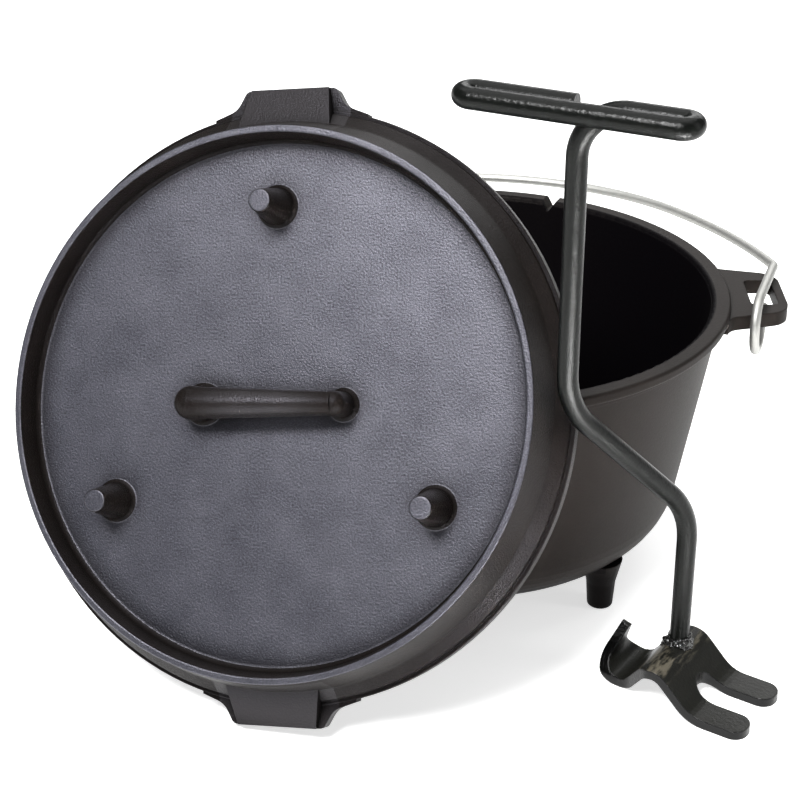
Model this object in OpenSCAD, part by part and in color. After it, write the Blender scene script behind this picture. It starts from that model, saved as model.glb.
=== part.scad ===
// Camp dutch oven: a cast pot with feet and ears, its cast lid leaning on the rim,
// a wire bail folded back, and a bent-bar lid lifter standing beside them.
// Millimetres, Z up. The pot's axis is Z, its feet stand on Z = 0, the ears lie along X.

/* [Pot] */
// inside diameter at the rim
pot_in_d = 254; // [244:1:264]
// height of the rim above the floor
pot_h = 148; // [144:1:156]
// thickness of the cast wall
wall_t = 5; // [4:0.5:6]
// inward slope of the wall in degrees
wall_taper = 9.8; // [8:0.2:11]
// outside radius between wall and bottom
corner_r = 30; // [26:1:34]
// width of the flat rim
rim_w = 9.6; // [8.6:0.2:11]
// height of the thickened rim
rim_t = 5.6; // [4.6:0.2:7]
// clear height under the bottom
foot_h = 18.5; // [16:0.5:21]
// diameter of a pot foot on the floor
foot_d = 13; // [11:0.5:15]
// radius of the circle the feet stand on
foot_circle_r = 100; // [97:1:102]

/* [Ears] */
// reach of an ear past the rim
ear_len = 28.4; // [27.4:0.5:32]
// width of an ear at its end
ear_w = 46; // [44:1:50]
// thickness of an ear
ear_t = 7.4; // [6.4:0.2:8.4]
// step from the rim down to the ear
ear_drop = 4; // [3:0.5:5]

/* [Bail] */
// diameter of the bail wire
wire_d = 5; // [4.4:0.2:5.2]
// length of the bail from hinge to grip
bail_len = 212.5; // [206:0.5:218]

/* [Lid] */
// overhang of the lid past the pot's rim
lid_overhang = 3.5; // [2:0.5:6]
// thickness of the lid's plate
plate_t = 5; // [4.5:0.5:6]
// height of the coal ring above the face
ring_h = 13.5; // [10:0.5:15]
// reach of a lifting tab past the flange
tab_reach = 9; // [6:0.5:12]
// width of a lifting tab at its end
tab_w = 45; // [38:1:52]
// height of the three feet on the face
lid_foot_h = 22.5; // [22:0.5:26]
// lean of the lid back from upright in degrees
lid_lean = 28.4; // [26:0.2:30]
// turn of the lid to the left in degrees
lid_turn = 21.7; // [20:0.2:24]
// roll of the lid about its own axis in degrees
lid_roll = 9.6; // [7:0.2:11]

/* [Lifter] */
// diameter of the lifter's bar
bar_d = 9.5; // [8:0.5:10]
// height of the T handle
tee_z = 302.4; // [290:0.2:316]
// length of the T handle
tee_len = 107.8; // [100:0.2:120]
// sideways jog of the shank
jog = 70; // [66:0.5:74]
// thickness of the claw plate
claw_t = 4.6; // [4:0.2:5.2]
// width of the claw plate
claw_w = 46; // [43:1:49]

/* [Hidden] */
$fn = 96;
// gap kept between pieces that can part, and the overlap used in cuts
clear = 0.4;
eps = 0.1;
// a straight bar runs this far into its bends, a hair thinner than they are
lap = 0.3;
lap_thin = 0.02;

// pot
rim_in_r = pot_in_d / 2;
rim_r = rim_in_r + rim_w;
rim_z = pot_h - rim_t;
bottom_t = wall_t + 1;
notch_az = 66;
notch_w = 8;
notch_d = 6.5;
foot_az = -45;

// ears: sides slope by ear_side degrees and run into the rim with a round of ear_fillet
ear_side = 14;
ear_corner = 12;
ear_fillet = 8;
ear_reach = rim_r + ear_len;
ear_z = pot_h - ear_drop - ear_t / 2;
slot_l = 30;
slot_w = 14;
slot_corner = 3;
slot_web = 4.5;
slot_x = ear_reach - slot_web - slot_w / 2;

// bail: each end ring turns round the near web of its ear and hangs below it by twice ring_drop
wire_r = wire_d / 2;
ring_x = slot_x - 4;
web_out = ear_w / 2 + (ear_reach - ring_x) * tan(ear_side);
web_in = slot_l / 2;
hinge_y = -(web_out + web_in) / 2;
run_y = ear_w / 2 + 4 - hinge_y;
bend_x = ear_reach - 0.5;
toe = atan2(bend_x - ring_x, run_y);
web_corner = norm([(web_out - web_in) / 2 / cos(toe), ear_t / 2]);
ring_top = (web_corner + clear + wire_r) * 1.025;
ring_drop = 3.5;
ring_turn = 290;
bail_droop = asin((ring_top - wire_r - ear_t / 2 - clear) / run_y);
wire_bend = 7;
// the arms lean in by arm_end at the bends and by arm_lean where they run into the round top
arm_end = 13;
arm_lean = 33;
bend_cut = wire_bend * tan((toe + arm_end) / 2);
arm_foot = [bend_x, run_y] + bend_cut * [-sin(arm_end), cos(arm_end)];
top_share = (1 - sin(arm_lean)) / cos(arm_lean);
arm_rise = [cos(arm_lean) - cos(arm_end), sin(arm_lean) - sin(arm_end)];
arm_r = (bail_len - arm_foot * [top_share, 1]) / (arm_rise * [top_share, 1]);
bail_top_r = (arm_foot.x + arm_r * arm_rise.x) / cos(arm_lean);
arm_lap = lap / arm_r * 180 / PI;

// lid, in its own frame: face on Z = 0, handle along X, tabs along Y
lid_r = rim_r + lid_overhang;
seat_z = -20;
edge_z = -13;
skirt_r = rim_in_r - 1.4;
ring_r_in = rim_in_r - 2.6;
ring_land = 3.2;
lid_feet_r = rim_in_r - 35.3;
tab_r = lid_r + tab_reach;
tab_root = lid_r * 0.97;
tab_line = [
    [-tab_w / 2 - 16, tab_root - 6, 0],
    [-tab_w / 2 - 16, tab_root, 0],
    [-tab_w / 2 - 5, lid_r, 10],
    [-tab_w / 2, tab_r, 3],
    [tab_w / 2, tab_r, 3],
    [tab_w / 2 + 5, lid_r, 10],
    [tab_w / 2 + 16, tab_root, 0],
    [tab_w / 2 + 16, tab_root - 6, 0],
];
handle_half = 34.8;
handle_x = -0.3;
handle_left_r = 7.6;
handle_right_r = 5.4;
handle_z = lid_foot_h - 0.6 - handle_left_r;

// the lid stands on the left corner of its lower tab and leans on the rim with its underside
lid_down = [sin(lid_roll) * cos(lid_lean), cos(lid_roll) * cos(lid_lean), sin(lid_lean)];
lid_z = -min([for (p = rounded(tab_line)) lid_down * [p.x, -p.y, seat_z]]);
lid_back = rim_r * cos(lid_lean) + pot_h * sin(lid_lean) + plate_t + clear;
lid_out = (lid_back - lid_z * sin(lid_lean)) / cos(lid_lean);
lid_side = -39.5;

// lifter: the shank stands in front of the lid's right edge, the claw stands on trough and tines
bar_r = bar_d / 2;
shank_in = 100.2;
shank_x = lid_r - shank_in;
shank_y = -lid_r - 27.9;
jog_az = 27;
jog_slope = 44.6;
jog_z = 181.8;
jog_bend = 40;
tee_az = -24.7;
tee_bend = bar_r + 0.4;
tee_elbow = 22;
tee_shift = 0.6;
claw_az = -34;
claw_shift = -8;
claw_mid = claw_t / 2;
tine_end = 49;
tine_w = 15;
fork_x = 15;
ridge_z = 24;
ridge_r = 9;
weld_h = 9;
spur_w = 30;
spur_z = 27;
ridge_front = 22;
ridge_back = 16;
spur_back = 34;
spur_tip = 24.5;
spur_from = 20;
tine_round = 7;
// side view of the plate's middle line: slopes of the ridge, then tines and spur added to them
claw_ridge = [[ridge_front, claw_mid, 2 * ridge_r], [0, ridge_z, ridge_r],
              [-ridge_back, claw_mid, ridge_back / 2]];
claw_line = concat([[tine_end, claw_mid, 0]], claw_ridge,
                   [[-spur_back, claw_mid + 1, ridge_r], [-spur_tip, spur_z, 0]]);

// Points [x, y, r] joined to an outline with each corner rounded by its r.
function turn(p, q, s) =
    let (u = (p - q) / norm(p - q), v = (s - q) / norm(s - q))
    acos(max(-1, min(1, u * v))) / 2;
function corner(p, q, s, r) =
    r == 0 ? [q] :
    let (u = (p - q) / norm(p - q), v = (s - q) / norm(s - q), h = turn(p, q, s))
    let (c = q + (u + v) / norm(u + v) * r / sin(h), a = q + u * r / tan(h) - c)
    let (b = q + v * r / tan(h) - c, sweep = 180 - 2 * h, n = max(2, ceil(sweep / 9)))
    let (sign = a.x * b.y - a.y * b.x > 0 ? 1 : -1)
    [for (i = [0:n]) let (t = sign * sweep * i / n)
        c + [a.x * cos(t) - a.y * sin(t), a.x * sin(t) + a.y * cos(t)]];
function flat(p) = [p[0], p[1]];
function rounded(pts) =
    let (n = len(pts))
    [for (i = [0:n - 1])
        each corner(flat(pts[(i + n - 1) % n]), flat(pts[i]), flat(pts[(i + 1) % n]), pts[i][2])];

// A bent strip of thickness t along an open path of points [x, y, r].
function path(pts) =
    let (n = len(pts))
    [for (i = [0:n - 1])
        each (i == 0 || i == n - 1) ? [flat(pts[i])] :
            corner(flat(pts[i - 1]), flat(pts[i]), flat(pts[i + 1]), pts[i][2])];
function side(pts, i) =
    let (a = pts[max(i - 1, 0)], b = pts[min(i + 1, len(pts) - 1)], d = (b - a) / norm(b - a))
    [-d.y, d.x];
function strip(pts, t) =
    let (c = path(pts), n = len(c))
    concat([for (i = [0:n - 1]) c[i] + side(c, i) * t / 2],
           [for (i = [n - 1:-1:0]) c[i] - side(c, i) * t / 2]);

// Pot

// Half section of the round shell, filled: a wall sloping in from r at height z to a rounded bottom.
module shell_section(r, z, floor_z, round_r) {
    low = floor_z;
    s = (z - low) * tan(wall_taper);
    polygon(rounded([[0, low, 0], [r - s, low, round_r], [r, z, 0], [0, z, 0]]));
}

module pot_foot() {
    // tapered peg with a soft edge on the floor and a flare under the casting
    r = foot_d / 2;
    rotate_extrude()
        polygon(rounded([[0, 0, 0], [r, 0, 1.6], [r + 1, foot_h - 4, 8], [r + 4, foot_h + 9, 0],
                         [0, foot_h + 9, 0]]));
}

module ear_outline() {
    n = [sin(ear_side), cos(ear_side)];
    t = [cos(ear_side), -sin(ear_side)];
    k = n * [ear_reach, ear_w / 2];
    // round corner at the end, and the round that runs into the rim
    c = [ear_reach - ear_corner, ear_w / 2 + ear_corner * (tan(ear_side) - 1 / cos(ear_side))];
    f = n * (k + ear_fillet) + t * sqrt(pow(rim_r + ear_fillet, 2) - pow(k + ear_fillet, 2));
    root = f - n * ear_fillet;
    for (m = [0, 1]) mirror([0, m]) {
        polygon([[rim_in_r, 0], [rim_in_r, root.y], root, c + n * ear_corner, [ear_reach, c.y],
                 [ear_reach, 0]]);
        translate(c) circle(ear_corner);
        difference() {
            polygon([[rim_in_r, 0], f * rim_in_r / norm(f), f, root]);
            translate(f) circle(ear_fillet);
        }
    }
}

module ear() {
    translate([0, 0, ear_z - ear_t / 2])
        linear_extrude(ear_t)
            difference() {
                ear_outline();
                translate([slot_x, 0])
                    polygon(rounded([for (k = [[-1, -1], [1, -1], [1, 1], [-1, 1]])
                                     [k.x * slot_w / 2, k.y * slot_l / 2, slot_corner]]));
            }
}

module pot() {
    wall_top = rim_in_r + wall_t;
    color("#2b2927") difference() {
        union() {
            rotate_extrude() shell_section(wall_top, rim_z + eps, foot_h, corner_r);
            // thickened rim with a small cove under it
            rotate_extrude()
                polygon(rounded([[rim_in_r - 1, rim_z - 4, 0], [wall_top - 0.6, rim_z - 4, 0],
                                 [wall_top, rim_z, 3], [rim_r, rim_z, 1.6], [rim_r, pot_h, 1.6],
                                 [rim_in_r - 1, pot_h, 0]]));
            for (m = [0, 1]) mirror([m, 0, 0]) ear();
            for (a = [0, 120, 240]) rotate([0, 0, foot_az + a]) translate([foot_circle_r, 0, 0]) pot_foot();
        }
        rotate_extrude() shell_section(rim_in_r, pot_h + eps, foot_h + bottom_t, corner_r - wall_t);
        // softened inner edge of the rim
        rotate_extrude()
            difference() {
                translate([rim_in_r - 1, pot_h - 2]) square([3, 2 + eps]);
                translate([rim_in_r + 2, pot_h - 2]) circle(2);
            }
        // notch for a thermometer probe
        rotate([0, 0, notch_az]) translate([rim_in_r - 6, 0, pot_h]) rotate([90, 0, 90])
            linear_extrude(rim_w + 12)
                polygon(rounded([[-notch_w / 2, eps, 0], [0, -notch_d, 1.2], [notch_w / 2, eps, 0]]));
    }
}

// Lid

module lid_foot() {
    rotate_extrude()
        polygon(rounded([[0, -1, 0], [10.6, -1, 0], [10.6, 0, 0], [8.6, 1, 2], [5.3, lid_foot_h, 1],
                         [0, lid_foot_h, 0]]));
}

module lid_handle() {
    // round bar that tapers to the right, on two legs
    translate([handle_x - handle_half, 0, handle_z]) rotate([0, 90, 0])
        cylinder(h = 2 * handle_half, r1 = handle_left_r, r2 = handle_right_r);
    translate([handle_x - handle_half, 0, 0]) handle_leg(handle_left_r + 0.3);
    translate([handle_x + handle_half, 0, 0]) handle_leg(handle_right_r + 0.3);
}

module handle_leg(r) {
    // round leg with a flare on the face and a domed top just under the bar's own
    top = handle_z + r - 1;
    rotate_extrude()
        polygon(rounded([[0, -1, 0], [r + 2.4, -1, 0], [r + 2.4, 0, 0], [r + 0.2, 1.6, 2.5],
                         [r, top, r * 0.9], [0, top, 0]]));
}

module lid_tab() {
    // lifting tab with concave roots and soft corners, flush with the seat
    translate([0, 0, seat_z]) linear_extrude(edge_z - seat_z - 0.6) polygon(rounded(tab_line));
    // block on it that runs in to the ring, with a sloping face
    half = tab_w / 2 - 3;
    root = skirt_r - 3;
    intersection() {
        translate([0, 0, seat_z + 1]) linear_extrude(-seat_z)
            polygon([[-half - 5, root], [half + 5, root], [half, tab_r], [-half, tab_r]]);
        translate([-tab_w, 0, 0]) rotate([90, 0, 90]) linear_extrude(2 * tab_w)
            polygon([[root - 1, seat_z], [tab_r + 1, seat_z], [tab_r + 1, edge_z + 1], [root - 1, -1]]);
    }
}

module lid_place() {
    translate([lid_side * cos(lid_turn) - lid_out * sin(lid_turn),
               -lid_side * sin(lid_turn) - lid_out * cos(lid_turn), lid_z])
        rotate([90 - lid_lean, 0, -lid_turn]) rotate([0, 0, lid_roll]) children();
}

module lid() {
    ring_out = ring_r_in + ring_land;
    slope_r = ring_out + 4.8;
    color("#33343a") lid_place() {
        // plate, coal ring, sloping flange with its lip, seat and locating skirt
        rotate_extrude()
            polygon(rounded([
                [0, 0, 0],
                [ring_r_in - 1.8, 0, 3],
                [ring_r_in, ring_h, 0.9],
                [ring_out, ring_h, 0.9],
                [slope_r, -5.4, 4],
                [lid_r - 2.2, -11.2, 1],
                [lid_r - 2, edge_z, 0.6],
                [lid_r, edge_z, 0.6],
                [lid_r, seat_z, 1.4],
                [skirt_r, seat_z, 1],
                [skirt_r - 0.6, seat_z - 5, 1],
                [skirt_r - 6, seat_z - 5, 1.5],
                [skirt_r - 11, -plate_t, 8],
                [0, -plate_t, 0],
            ]));
        for (m = [0, 1]) mirror([0, m, 0]) lid_tab();
        for (a = [90, 210, 330]) rotate([0, 0, a]) translate([lid_feet_r, 0, 0]) lid_foot();
        lid_handle();
    }
}

// Bail

// Round bar in an arc of radius r through a degrees, and a straight one from p to q.
module bend_at(r, a, bar) {
    rotate_extrude(angle = a) translate([r, 0]) circle(bar);
}

module rod(p, q, r) {
    d = q - p;
    translate(p) rotate([0, acos(d.z / norm(d)), atan2(d.y, d.x)])
        translate([0, 0, -lap]) cylinder(h = norm(d) + 2 * lap, r = r - lap_thin);
}

module bail() {
    // flat frame: hinge on the X axis, wire plane at Z = ring_top, grip towards +Y
    run = run_y / cos(toe) - bend_cut;
    arm_mid = arm_foot - arm_r * [cos(arm_end), sin(arm_end)];
    color("#b9bcbf") translate([0, hinge_y, ear_z]) rotate([-bail_droop, 0, 0]) {
        translate([0, bail_len - bail_top_r, ring_top]) rotate([0, 0, arm_lean])
            bend_at(bail_top_r, 180 - 2 * arm_lean, wire_r);
        for (m = [0, 1]) mirror([m, 0, 0]) {
            // the arm runs a little into the round top and into its bend
            translate([arm_mid.x, arm_mid.y, ring_top]) rotate([0, 0, arm_end - arm_lap])
                bend_at(arm_r, arm_lean - arm_end + 2 * arm_lap, wire_r - lap_thin);
            translate([ring_x, 0, 0]) rotate([0, 0, -toe]) {
                bail_ring();
                rod([0, 0, ring_top], [0, run, ring_top], wire_r);
                translate([-wire_bend, run, ring_top]) bend_at(wire_bend, toe + arm_end, wire_r);
            }
        }
    }
}

module bail_ring() {
    // open ring across the web: over it, down in front, under it and up into the slot
    translate([0, 0, -ring_drop]) rotate([90, 0, 90]) rotate([0, 0, 90])
        bend_at(ring_top + ring_drop, ring_turn, wire_r);
}

// Lifter

module lifter_bar() {
    // shank frame: shank on the Z axis, jog towards +X
    r = jog_bend;
    a = jog_slope;
    flat_len = (jog - 2 * r * (1 - cos(a))) / sin(a);
    start = [r * (1 - cos(a)), 0, jog_z - r * sin(a)];
    end = start + [flat_len * sin(a), 0, -flat_len * cos(a)];
    foot_z = end.z - r * sin(a);
    rod([0, 0, jog_z], [0, 0, tee_z - tee_elbow], bar_r);
    translate([r, 0, jog_z]) rotate([90, 0, 0]) rotate([0, 0, 180]) bend_at(r, a, bar_r);
    rod(start, end, bar_r);
    translate([jog - r, 0, foot_z]) rotate([90, 0, 0]) bend_at(r, a, bar_r);
    rod([jog, 0, foot_z], [jog, 0, ridge_z - ridge_r], bar_r);
}

module lifter_tee() {
    // folded handle: elbow, back bar, front bar and the cut end of the back bar
    half = tee_len / 2 - bar_r - tee_bend;
    translate([tee_elbow, 0, tee_z - tee_elbow]) rotate([90, 0, 0]) rotate([0, 0, 90])
        bend_at(tee_elbow, 90, bar_r);
    rod([tee_elbow, 0, tee_z], [tee_shift + half, 0, tee_z], bar_r);
    translate([tee_shift + half, -tee_bend, tee_z]) rotate([0, 0, -90]) bend_at(tee_bend, 180, bar_r);
    rod([tee_shift + half, -2 * tee_bend, tee_z], [tee_shift - half, -2 * tee_bend, tee_z], bar_r);
    translate([tee_shift - half, -tee_bend, tee_z]) rotate([0, 0, 90]) bend_at(tee_bend, 180, bar_r);
    rod([tee_shift - half, 0, tee_z], [tee_shift - 2, 0, tee_z], bar_r);
}

module claw_place() {
    translate([shank_x + jog * cos(jog_az), shank_y + jog * sin(jog_az), 0])
        rotate([0, 0, claw_az]) children();
}

module claw_side() {
    // stands a side view, drawn as [X, Z], across the plate's width
    translate([0, claw_w / 2, 0]) rotate([90, 0, 0]) linear_extrude(claw_w) children();
}

module claw_plate() {
    // side view bent along X, cut to the plan of fork and hook and to the spur's point
    w = claw_w / 2;
    slot = w - tine_w;
    neck = spur_w / 2;
    translate([0, claw_shift, 0]) intersection() {
        claw_side() polygon(strip(claw_line, claw_t));
        union() {
            linear_extrude(spur_z)
                polygon(rounded([
                    [-spur_from, -neck, 0],
                    [-spur_from * 0.75, -neck - 0.5, 12],
                    [-spur_from / 10, -w, 8],
                    [tine_end, -w, tine_round],
                    [tine_end, -slot, tine_round],
                    [fork_x, -slot, slot - 0.3],
                    [fork_x, slot, slot - 0.3],
                    [tine_end, slot, tine_round],
                    [tine_end, w, tine_round],
                    [-spur_from / 10, w, 8],
                    [-spur_from * 0.75, neck + 0.5, 12],
                    [-spur_from, neck, 0],
                ]));
            // pointed spur, seen along X
            translate([-1.5 * spur_back, 0, 0]) rotate([90, 0, 90])
                linear_extrude(1.5 * spur_back - spur_from + 1)
                    polygon(rounded([
                        [-neck, -1, 0],
                        [neck, -1, 0],
                        [neck, spur_z * 0.18, neck * 0.4],
                        [neck * 0.36, spur_z * 0.57, spur_z * 0.9],
                        [0.8, spur_z + 1, 0],
                        [-0.8, spur_z + 1, 0],
                        [-neck * 0.36, spur_z * 0.57, spur_z * 0.9],
                        [-neck, spur_z * 0.18, neck * 0.4],
                    ]));
        }
    }
}

module claw_below() {
    // everything under the ridge's middle line and the plate itself
    claw_plate();
    claw_side() polygon(concat(path(claw_ridge), [[-ridge_back, -1], [ridge_front, -1]]));
}

module lifter_rod() {
    color("#1d1e20") difference() {
        translate([shank_x, shank_y, 0]) {
            rotate([0, 0, jog_az]) lifter_bar();
            rotate([0, 0, tee_az]) lifter_tee();
        }
        claw_place() claw_below();
    }
}

module lifter_claw() {
    color("#242524") claw_place() claw_plate();
}

module lifter_weld() {
    // fillet of weld metal round the bar's foot
    color("#4a4b4c") claw_place() difference() {
        translate([0, 0, ridge_z - weld_h + 1]) cylinder(h = weld_h, r1 = bar_r + 4.2, r2 = bar_r + 0.4);
        claw_below();
        translate([0, 0, ridge_z - 2 * weld_h]) cylinder(h = 3 * weld_h, r = bar_r - lap_thin);
    }
}

pot();
lid();
bail();
lifter_rod();
lifter_claw();
lifter_weld();
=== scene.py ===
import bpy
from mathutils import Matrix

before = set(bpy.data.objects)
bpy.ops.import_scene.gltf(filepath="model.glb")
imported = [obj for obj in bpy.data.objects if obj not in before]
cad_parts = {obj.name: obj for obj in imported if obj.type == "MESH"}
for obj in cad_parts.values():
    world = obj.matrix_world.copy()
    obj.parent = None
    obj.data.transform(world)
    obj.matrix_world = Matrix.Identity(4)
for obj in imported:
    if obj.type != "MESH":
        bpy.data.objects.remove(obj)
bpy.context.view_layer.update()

import math

import bpy
from mathutils import Matrix, Vector

# Camera
# A studio camera on a stand in front of the oven, straight on and tipped down by 27.4 degrees, about
# 1.1 m from it. The picture is square and the lens is a short telephoto.
camera_data = bpy.data.cameras.new("camera")
camera_data.sensor_width = 36.0
camera_data.lens = 89.09
camera = bpy.data.objects.new("camera", camera_data)
camera.location = (-0.0324, -0.9314, 0.5639)
camera.rotation_euler = (math.radians(62.62), 0, 0)
bpy.context.collection.objects.link(camera)
bpy.context.scene.camera = camera
bpy.context.scene.view_settings.view_transform = "Standard"


# Studio floor
# A flat sheet of opal acrylic as on a light table, lit from below, far larger than the picture. It is a
# dull even white that shows only soft shadows.
def srgb(text):
    """Linear colour with alpha from a hex colour as seen on a screen."""
    parts = [int(text[i:i + 2], 16) / 255 for i in (1, 3, 5)]
    return tuple(c / 12.92 if c <= 0.04045 else ((c + 0.055) / 1.055) ** 2.4 for c in parts) + (1.0,)


def blank(name):
    """A new material with its shader nodes."""
    made = bpy.data.materials.new(name)
    made.use_nodes = True
    return made


def fill(tree, node, links):
    """Sets sockets of a shader node, each to a value or to another node's socket."""
    for key, value in links.items():
        if isinstance(value, bpy.types.NodeSocket):
            tree.links.new(value, node.inputs[key])
        else:
            node.inputs[key].default_value = value


def add(tree, kind, links=None, **settings):
    """One shader node: settings are its own options, links its sockets."""
    made = tree.nodes.new(kind)
    for key, value in settings.items():
        setattr(made, key, value)
    fill(tree, made, links or {})
    return made


acrylic = blank("opal_acrylic")
tree = acrylic.node_tree
fill(tree, tree.nodes["Principled BSDF"], {
    "Base Color": srgb("#f4f4f3"), "Roughness": 0.8, "Specular IOR Level": 0.1,
    "Emission Color": srgb("#ffffff"), "Emission Strength": 0.65})
floor_mesh = bpy.data.meshes.new("floor")
steps = 24
reach = 4.0
row = steps + 1
floor_mesh.from_pydata(
    [((i / steps - 0.5) * 2 * reach, (j / steps - 0.5) * 2 * reach, 0.0) for j in range(row) for i in range(row)],
    [],
    [(j * row + i, j * row + i + 1, (j + 1) * row + i + 1, (j + 1) * row + i)
     for j in range(steps) for i in range(steps)])
floor_mesh.materials.append(acrylic)
floor = bpy.data.objects.new("floor", floor_mesh)
bpy.context.collection.objects.link(floor)

# Studio light
# A dim white room with five soft boxes: a wide one overhead, the main one high at the front left, whose
# sheen lies across the lid's face, one behind for the rim and the ears, a tall strip at the right that draws
# the edges of the lifter, and a small one over the floor in front, whose pool of light the bar mirrors.
room = bpy.data.worlds.new("white_room")
room.use_nodes = True
fill(room.node_tree, room.node_tree.nodes["Background"], {"Color": srgb("#f4f5f8"), "Strength": 0.2})
bpy.context.scene.world = room
# place and aim in metres, width and height, watts, degrees across the beam
for name, place, aim, size, power, beam in (
    ("overhead_box", (0.0, 0.35, 2.0), (0.0, 0.1, 0.0), (2.4, 2.0), 32.0, 180),
    ("main_box", (-0.56, -1.02, 1.5), (-0.08, -0.1, 0.14), (0.5, 0.5), 48.0, 180),
    ("back_box", (0.6, 1.55, 1.0), (0.05, 0.0, 0.14), (1.3, 0.8), 9.0, 180),
    ("right_strip", (1.35, -0.45, 0.75), (0.05, -0.1, 0.12), (0.3, 1.3), 3.0, 180),
    ("front_spot", (0.14, -0.5, 0.45), (0.14, -0.48, 0.0), (0.1, 0.1), 8.0, 50),
):
    lamp = bpy.data.lights.new(name, "AREA")
    lamp.shape = "RECTANGLE"
    lamp.size, lamp.size_y = size
    lamp.energy = power
    lamp.spread = math.radians(beam)
    holder = bpy.data.objects.new(name, lamp)
    holder.location = place
    holder.rotation_euler = (Vector(aim) - Vector(place)).to_track_quat("-Z", "Y").to_euler()
    bpy.context.collection.objects.link(holder)


# Pot
# One thick iron casting: sloping wall, rounded bottom, flat rim, two ears and three feet, poured in a
# sand mould, blasted, and baked with oil.
def dress(piece, material, crease):
    """Gives a piece its material and shades it round, but for edges that turn by more degrees than crease."""
    piece.data.materials.clear()
    piece.data.materials.append(material)
    piece.data.shade_smooth()
    piece.data.set_sharp_from_angle(angle=math.radians(crease))


mm = 0.001
pot_grain = 1.2 * mm
pot_blotch = 40 * mm
pot_floor = 23.6 * mm
wall_slope = 0.1727
wall_foot = 103.64 * mm
under_shade_low, under_shade_high = 20 * mm, 30 * mm
pot_edge = 1.2 * mm
# Seasoned cast iron: outside, baked oil over sand-cast grain gives a dull brown black with a soft sheen;
# inside, the colour is painted near black with little gloss, as painted shade in the pot's hollow. The sand's
# 0.5 mm grain is drawn at 1.2 mm so that it shows.
pot_iron = blank("seasoned_cast_iron_pot")
tree = pot_iron.node_tree
spot = add(tree, "ShaderNodeTexCoord").outputs["Object"]
grain = add(tree, "ShaderNodeTexNoise",
            {"Vector": spot, "Scale": 1 / pot_grain, "Detail": 3.0, "Roughness": 0.6}).outputs["Fac"]
bloom = add(tree, "ShaderNodeTexNoise",
            {"Vector": spot, "Scale": 1 / pot_blotch, "Detail": 4.0, "Roughness": 0.55}).outputs["Fac"]
# inside is whatever lies within the sloping inner wall, above the pot's floor
height = add(tree, "ShaderNodeSeparateXYZ", {0: spot}).outputs["Z"]
across = add(tree, "ShaderNodeVectorMath", {0: spot, 1: (1, 1, 0)}, operation="MULTIPLY").outputs[0]
radius = add(tree, "ShaderNodeVectorMath", {0: across}, operation="LENGTH").outputs["Value"]
wall = add(tree, "ShaderNodeMath", {0: height, 1: wall_slope, 2: wall_foot}, operation="MULTIPLY_ADD").outputs[0]
within = add(tree, "ShaderNodeMath", {0: radius, 1: wall}, operation="LESS_THAN").outputs[0]
above = add(tree, "ShaderNodeMath", {0: height, 1: pot_floor}, operation="GREATER_THAN").outputs[0]
inside = add(tree, "ShaderNodeMath", {0: within, 1: above}, operation="MULTIPLY").outputs[0]
tone = add(tree, "ShaderNodeMix", {0: bloom, 6: srgb("#110e0d"), 7: srgb("#1d1917")},
           data_type="RGBA").outputs[2]
# painted shadow: the feet and the underside are painted near black, for the shade under the pot
under_shade = add(tree, "ShaderNodeMapRange",
           {"Value": height, "From Min": under_shade_high, "From Max": under_shade_low}).outputs[0]
# painted shade: inside the pot and under it, the colour is painted near black and the gloss cut
painted_shade = add(tree, "ShaderNodeMath", {0: under_shade, 1: inside}, operation="MAXIMUM").outputs[0]
tone = add(tree, "ShaderNodeMix", {0: painted_shade, 6: tone, 7: srgb("#040305")}, data_type="RGBA").outputs[2]
sheen = add(tree, "ShaderNodeMapRange", {"Value": grain, "To Min": 0.44, "To Max": 0.58}).outputs[0]
gloss = add(tree, "ShaderNodeMapRange", {"Value": painted_shade, "To Min": 0.12, "To Max": 0.08}).outputs[0]
# cast edges are round by about 1 mm
rounded = add(tree, "ShaderNodeBevel", {"Radius": pot_edge}, samples=4).outputs[0]
relief = add(tree, "ShaderNodeBump",
             {"Strength": 0.5, "Distance": 0.2 * mm, "Height": grain, "Normal": rounded}).outputs["Normal"]
fill(tree, tree.nodes["Principled BSDF"], {
    "Base Color": tone, "Roughness": sheen, "Specular IOR Level": gloss, "Specular Tint": srgb("#fff3ea"),
    "Normal": relief})
dress(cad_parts["pot"], pot_iron, 32)

# Lid
# One iron casting like the pot: a plate with a coal ring, a sloping flange, two lifting tabs, three feet
# and a bar handle. It was blasted before the oil was baked on, which leaves the open face a bluish grey.
lid_centre = (-90.6955 * mm, -121.078 * mm, 141.91 * mm)
lid_turn, lid_lean, lid_roll = (math.radians(angle) for angle in (-21.7, 61.6, 9.6))
ring_inside = 124.4 * mm
ring_land, land_height, land_half = 126.2 * mm, 13.5 * mm, 3 * mm
foot_height = 22.5 * mm
tab_inside, tab_half = 128.5 * mm, 30 * mm
handle_half, handle_reach, handle_middle, handle_foot = 11 * mm, 32 * mm, 10 * mm, 3 * mm
lid_grain = 0.9 * mm
lid_pits = 6 * mm
lid_blotch = 30 * mm
lid_shade_reach = 14 * mm
lid_edge = 0.6 * mm
# Seasoned cast iron: the blasted face has a fine grain with scattered pits and a cool sheen that comes and
# goes in blotches, and the flange and ring stay brown black. The grain is drawn at 0.9 mm so that it shows.
lid_iron = blank("seasoned_cast_iron_lid")
tree = lid_iron.node_tree
spot = add(tree, "ShaderNodeTexCoord").outputs["Object"]
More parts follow.
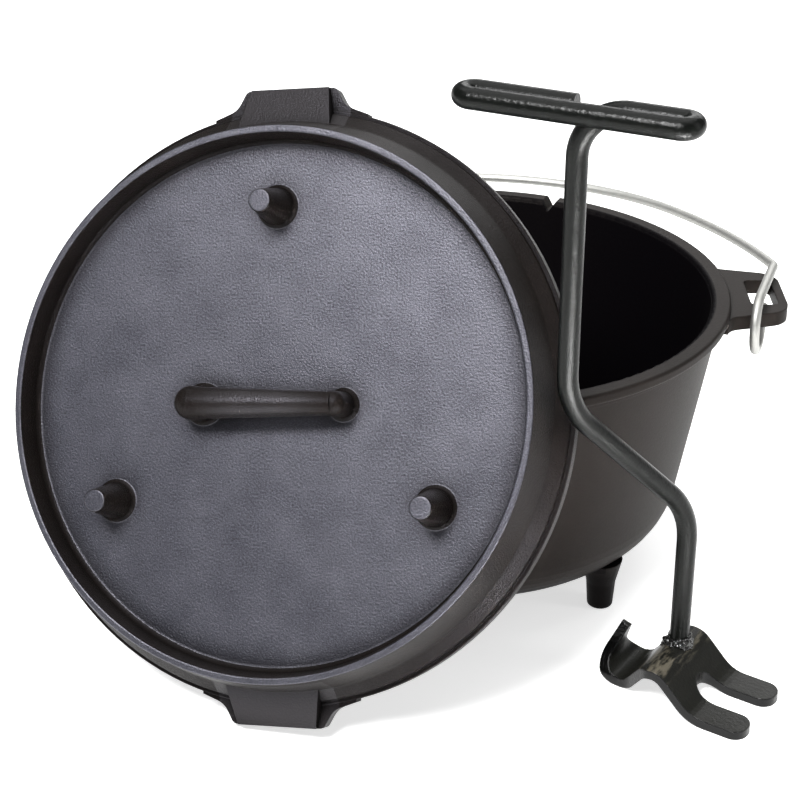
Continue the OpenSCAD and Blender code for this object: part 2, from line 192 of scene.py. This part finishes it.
# the lid's own frame: face on Z = 0, handle along X
turned = Matrix.Rotation(lid_turn, 3, "Z") @ Matrix.Rotation(lid_lean, 3, "X") @ Matrix.Rotation(lid_roll, 3, "Z")
own = add(tree, "ShaderNodeMapping", {"Vector": spot, "Location": lid_centre, "Rotation": turned.to_euler()},
          vector_type="TEXTURE").outputs[0]
apart = add(tree, "ShaderNodeSeparateXYZ", {0: own})
along, side, height = (apart.outputs[axis] for axis in "XYZ")
across = add(tree, "ShaderNodeVectorMath", {0: own, 1: (1, 1, 0)}, operation="MULTIPLY").outputs[0]
radius = add(tree, "ShaderNodeVectorMath", {0: across}, operation="LENGTH").outputs["Value"]
# blasted grey shows on the face inside the ring, on the ring's land and on the flat tips of the feet
on_plate = add(tree, "ShaderNodeMath", {0: height, 1: 0.0, 2: 0.2 * mm}, operation="COMPARE").outputs[0]
in_ring = add(tree, "ShaderNodeMath", {0: radius, 1: ring_inside}, operation="LESS_THAN").outputs[0]
face = add(tree, "ShaderNodeMath", {0: on_plate, 1: in_ring}, operation="MULTIPLY").outputs[0]
on_land = add(tree, "ShaderNodeMath", {0: height, 1: land_height, 2: 0.3 * mm}, operation="COMPARE").outputs[0]
at_ring = add(tree, "ShaderNodeMath", {0: radius, 1: ring_land, 2: land_half}, operation="COMPARE").outputs[0]
land = add(tree, "ShaderNodeMath", {0: on_land, 1: at_ring}, operation="MULTIPLY").outputs[0]
tips = add(tree, "ShaderNodeMath", {0: height, 1: foot_height, 2: 0.2 * mm}, operation="COMPARE").outputs[0]
bare = add(tree, "ShaderNodeMath", {0: face, 1: land}, operation="MAXIMUM").outputs[0]
bare = add(tree, "ShaderNodeMath", {0: bare, 1: tips}, operation="MAXIMUM").outputs[0]
grain = add(tree, "ShaderNodeTexNoise",
            {"Vector": own, "Scale": 1 / lid_grain, "Detail": 3.0, "Roughness": 0.6}).outputs["Fac"]
pits = add(tree, "ShaderNodeTexVoronoi",
           {"Vector": own, "Scale": 1 / lid_pits, "Randomness": 1.0}).outputs["Distance"]
pits = add(tree, "ShaderNodeMapRange", {"Value": pits, "From Min": 0.05, "From Max": 0.13}).outputs[0]
bloom = add(tree, "ShaderNodeTexNoise",
            {"Vector": own, "Scale": 1 / lid_blotch, "Detail": 5.0, "Roughness": 0.6}).outputs["Fac"]
grey = add(tree, "ShaderNodeMix", {0: grain, 6: srgb("#101013"), 7: srgb("#2a2b33")},
           data_type="RGBA").outputs[2]
grey = add(tree, "ShaderNodeMix", {0: pits, 6: srgb("#0c0c0e"), 7: grey}, data_type="RGBA").outputs[2]
brown = add(tree, "ShaderNodeMix", {0: bloom, 6: srgb("#0f0c0b"), 7: srgb("#191512")},
            data_type="RGBA").outputs[2]
tone = add(tree, "ShaderNodeMix", {0: bare, 6: brown, 7: grey}, data_type="RGBA").outputs[2]
sheen = add(tree, "ShaderNodeMapRange", {"Value": bloom, "To Min": 0.31, "To Max": 0.41}).outputs[0]
gloss = add(tree, "ShaderNodeMapRange", {"Value": bare, "To Min": 0.11, "To Max": 1.0}).outputs[0]
# the sheen glints with the grain and comes and goes in blotches
glint = add(tree, "ShaderNodeMapRange",
            {"Value": grain, "From Min": 0.3, "From Max": 0.7, "To Min": 0.7, "To Max": 1.3}).outputs[0]
gloss = add(tree, "ShaderNodeMath", {0: gloss, 1: glint}, operation="MULTIPLY").outputs[0]
patch = add(tree, "ShaderNodeMapRange",
            {"Value": bloom, "From Min": 0.3, "From Max": 0.7, "To Min": 0.75, "To Max": 1.2}).outputs[0]
gloss = add(tree, "ShaderNodeMath", {0: gloss, 1: patch}, operation="MULTIPLY").outputs[0]
# the tabs are rubbed where the lid is lifted
at_tab = add(tree, "ShaderNodeMath", {0: along, 1: 0.0, 2: tab_half}, operation="COMPARE").outputs[0]
outer = add(tree, "ShaderNodeMath", {0: radius, 1: tab_inside}, operation="GREATER_THAN").outputs[0]
rubbed = add(tree, "ShaderNodeMath", {0: at_tab, 1: outer}, operation="MULTIPLY").outputs[0]
gloss = add(tree, "ShaderNodeMapRange", {"Value": rubbed, "To Min": gloss, "To Max": 0.4}).outputs[0]
# hands and the lifter's hook polish the handle
grip = add(tree, "ShaderNodeMath", {0: side, 1: 0.0, 2: handle_half}, operation="COMPARE").outputs[0]
raised = add(tree, "ShaderNodeMath", {0: height, 1: handle_foot}, operation="GREATER_THAN").outputs[0]
grip = add(tree, "ShaderNodeMath", {0: grip, 1: raised}, operation="MULTIPLY").outputs[0]
near = add(tree, "ShaderNodeMapRange",
           {"Value": radius, "From Min": handle_reach, "From Max": handle_middle}).outputs[0]
grip = add(tree, "ShaderNodeMath", {0: grip, 1: near}, operation="MULTIPLY").outputs[0]
sheen = add(tree, "ShaderNodeMapRange", {"Value": grip, "To Min": sheen, "To Max": 0.3}).outputs[0]
gloss = add(tree, "ShaderNodeMapRange", {"Value": grip, "To Min": gloss, "To Max": 0.42}).outputs[0]
# painted shade: the corners of the ring, the feet and the handle are painted darker, and their gloss cut, the
# more enclosed they are
painted_corner_shade = add(tree, "ShaderNodeAmbientOcclusion", {"Distance": lid_shade_reach}, samples=8).outputs["AO"]
painted_corner_shade = add(tree, "ShaderNodeMapRange", {"Value": painted_corner_shade, "From Min": 0.5, "From Max": 0.95}).outputs[0]
tone = add(tree, "ShaderNodeMix", {0: painted_corner_shade, 6: srgb("#0e0d0d"), 7: tone}, data_type="RGBA").outputs[2]
clear = add(tree, "ShaderNodeMapRange", {"Value": painted_corner_shade, "To Min": 0.05, "To Max": 1.0}).outputs[0]
gloss = add(tree, "ShaderNodeMath", {0: gloss, 1: clear}, operation="MULTIPLY").outputs[0]
rounded = add(tree, "ShaderNodeBevel", {"Radius": lid_edge}, samples=4).outputs[0]
relief = add(tree, "ShaderNodeBump",
             {"Strength": 1.0, "Distance": 0.25 * mm, "Height": grain, "Normal": rounded}).outputs["Normal"]
fill(tree, tree.nodes["Principled BSDF"], {
    "Base Color": tone, "Roughness": sheen, "Specular IOR Level": gloss, "Specular Tint": srgb("#e6e4f1"),
    "Normal": relief})
dress(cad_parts["lid"], lid_iron, 32)

# Bail
# Steel wire 5 mm thick, zinc plated, bent to a bow with an open ring at each end that hangs on the
# ear's web.
zinc_cloud = 6 * mm
# Zinc plate: a bright satin grey metal, cloudy from the bath, with faint marks of the bending rolls.
zinc = blank("zinc_plated_wire")
tree = zinc.node_tree
spot = add(tree, "ShaderNodeTexCoord").outputs["Object"]
cloud = add(tree, "ShaderNodeTexNoise",
            {"Vector": spot, "Scale": 1 / zinc_cloud, "Detail": 4.0, "Roughness": 0.6}).outputs["Fac"]
tone = add(tree, "ShaderNodeMix", {0: cloud, 6: srgb("#adada9"), 7: srgb("#c4c4c0")},
           data_type="RGBA").outputs[2]
sheen = add(tree, "ShaderNodeMapRange", {"Value": cloud, "To Min": 0.45, "To Max": 0.6}).outputs[0]
relief = add(tree, "ShaderNodeBump",
             {"Strength": 0.2, "Distance": 0.2 * mm, "Height": cloud}).outputs["Normal"]
fill(tree, tree.nodes["Principled BSDF"], {
    "Base Color": tone, "Metallic": 1.0, "Roughness": sheen, "Normal": relief})
dress(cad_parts["bail"], zinc, 40)

# Lifter's bar
# Round steel bar 9.5 mm thick, bent cold to a shank with a jog and a folded T handle, dipped in black
# enamel.
bar_ripple = 1.5 * mm
# Dipped enamel: a green-tinged black gloss with the ripple of orange peel, about 1.5 mm from wave to wave,
# which breaks the lamps' streaks into fine sparks.
enamel = blank("gloss_black_enamel")
tree = enamel.node_tree
spot = add(tree, "ShaderNodeTexCoord").outputs["Object"]
peel = add(tree, "ShaderNodeTexNoise",
           {"Vector": spot, "Scale": 1 / bar_ripple, "Detail": 2.0, "Roughness": 0.5}).outputs["Fac"]
tone = add(tree, "ShaderNodeMix", {0: peel, 6: srgb("#040504"), 7: srgb("#0a0c0a")},
           data_type="RGBA").outputs[2]
relief = add(tree, "ShaderNodeBump",
             {"Strength": 0.5, "Distance": 0.4 * mm, "Height": peel}).outputs["Normal"]
fill(tree, tree.nodes["Principled BSDF"], {
    "Base Color": tone, "Roughness": 0.28, "Specular IOR Level": 0.16, "Normal": relief})
dress(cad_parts["lifter_rod"], enamel, 40)

# Lifter's claw
# Steel plate 4.6 mm thick, cut to a fork with two tines, bent over a ridge and up to a pointed spur,
# welded to the bar and dipped with it.
claw_place = (102.27 * mm, -136.22 * mm, 0.0)
claw_turn = math.radians(-34)
claw_side = (0.5592, 0.8290, 0.0)
claw_ripple = 1.6 * mm
rub_width = 5 * mm
ridge_low, ridge_high = 17 * mm, 24 * mm
claw_edge = 1.1 * mm
# Thin enamel: drained to an olive satin on the flat of the plate, glossy black where it gathered on the
# cut edges, and rubbed to tan steel on the ridge beside the weld.
thin_enamel = blank("thin_black_enamel")
tree = thin_enamel.node_tree
spot = add(tree, "ShaderNodeTexCoord")
# the claw's own frame: tines along X
own = add(tree, "ShaderNodeMapping",
          {"Vector": spot.outputs["Object"], "Location": claw_place, "Rotation": (0, 0, claw_turn)},
          vector_type="TEXTURE").outputs[0]
peel = add(tree, "ShaderNodeTexNoise",
           {"Vector": own, "Scale": 1 / claw_ripple, "Detail": 3.0, "Roughness": 0.55}).outputs["Fac"]
streaks = add(tree, "ShaderNodeMapping", {"Vector": own, "Scale": (1.0, 0.25, 1.0)}).outputs[0]
rubbing = add(tree, "ShaderNodeTexNoise",
              {"Vector": streaks, "Scale": 1 / rub_width, "Detail": 4.0, "Roughness": 0.6}).outputs["Fac"]
# the cut edges face to the claw's sides
edge = add(tree, "ShaderNodeVectorMath", {0: spot.outputs["Normal"], 1: claw_side},
           operation="DOT_PRODUCT").outputs["Value"]
edge = add(tree, "ShaderNodeMath", {0: edge}, operation="ABSOLUTE").outputs[0]
edge = add(tree, "ShaderNodeMapRange", {"Value": edge, "From Min": 0.3, "From Max": 0.5}).outputs[0]
height = add(tree, "ShaderNodeSeparateXYZ", {0: own}).outputs["Z"]
on_ridge = add(tree, "ShaderNodeMapRange",
               {"Value": height, "From Min": ridge_low, "From Max": ridge_high}).outputs[0]
rubbed = add(tree, "ShaderNodeMapRange", {"Value": rubbing, "From Min": 0.46, "From Max": 0.56}).outputs[0]
rubbed = add(tree, "ShaderNodeMath", {0: on_ridge, 1: rubbed}, operation="MULTIPLY").outputs[0]
tone = add(tree, "ShaderNodeMix", {0: rubbing, 6: srgb("#0d0d0b"), 7: srgb("#1c1c18")},
           data_type="RGBA").outputs[2]
tone = add(tree, "ShaderNodeMix", {0: rubbed, 6: tone, 7: srgb("#6e685a")}, data_type="RGBA").outputs[2]
tone = add(tree, "ShaderNodeMix", {0: edge, 6: tone, 7: srgb("#050505")}, data_type="RGBA").outputs[2]
sheen = add(tree, "ShaderNodeMapRange", {"Value": edge, "To Min": 0.34, "To Max": 0.16}).outputs[0]
rounded = add(tree, "ShaderNodeBevel", {"Radius": claw_edge}, samples=4).outputs[0]
relief = add(tree, "ShaderNodeBump",
             {"Strength": 0.5, "Distance": 0.3 * mm, "Height": peel, "Normal": rounded}).outputs["Normal"]
fill(tree, tree.nodes["Principled BSDF"], {
    "Base Color": tone, "Roughness": sheen, "Specular IOR Level": 0.24, "Normal": relief})
dress(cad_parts["lifter_claw"], thin_enamel, 40)

# Lifter's weld
# A hand-laid bead of weld metal round the bar's foot, dipped in the same enamel.
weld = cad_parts["lifter_weld"]
weld_ripple = 2.6 * mm
weld_drop = 4 * mm
# Weld bead under enamel: frozen ripples and spatter that flash white between black.
weld_gloss = blank("enamelled_weld_bead")
tree = weld_gloss.node_tree
spot = add(tree, "ShaderNodeTexCoord").outputs["Object"]
ripple = add(tree, "ShaderNodeTexNoise",
             {"Vector": spot, "Scale": 1 / weld_ripple, "Detail": 2.0, "Roughness": 0.5}).outputs["Fac"]
tone = add(tree, "ShaderNodeMix", {0: ripple, 6: srgb("#080808"), 7: srgb("#1d1d1c")},
           data_type="RGBA").outputs[2]
relief = add(tree, "ShaderNodeBump",
             {"Strength": 1.0, "Distance": 1.6 * mm, "Height": ripple}).outputs["Normal"]
fill(tree, tree.nodes["Principled BSDF"], {"Base Color": tone, "Roughness": 0.12, "Normal": relief})
dress(weld, weld_gloss, 180)
# the bead's frozen drops, about 4 mm across
grid = weld.modifiers.new("grid", "REMESH")
grid.mode = "VOXEL"
grid.voxel_size = 0.4 * mm
grid.use_smooth_shade = True
drops = bpy.data.textures.new("weld_drops", "CLOUDS")
drops.noise_scale = weld_drop
drops.noise_depth = 1
lumps = weld.modifiers.new("lumps", "DISPLACE")
lumps.texture = drops
lumps.texture_coords = "LOCAL"
lumps.strength = 4 * mm
lumps.mid_level = 0.42
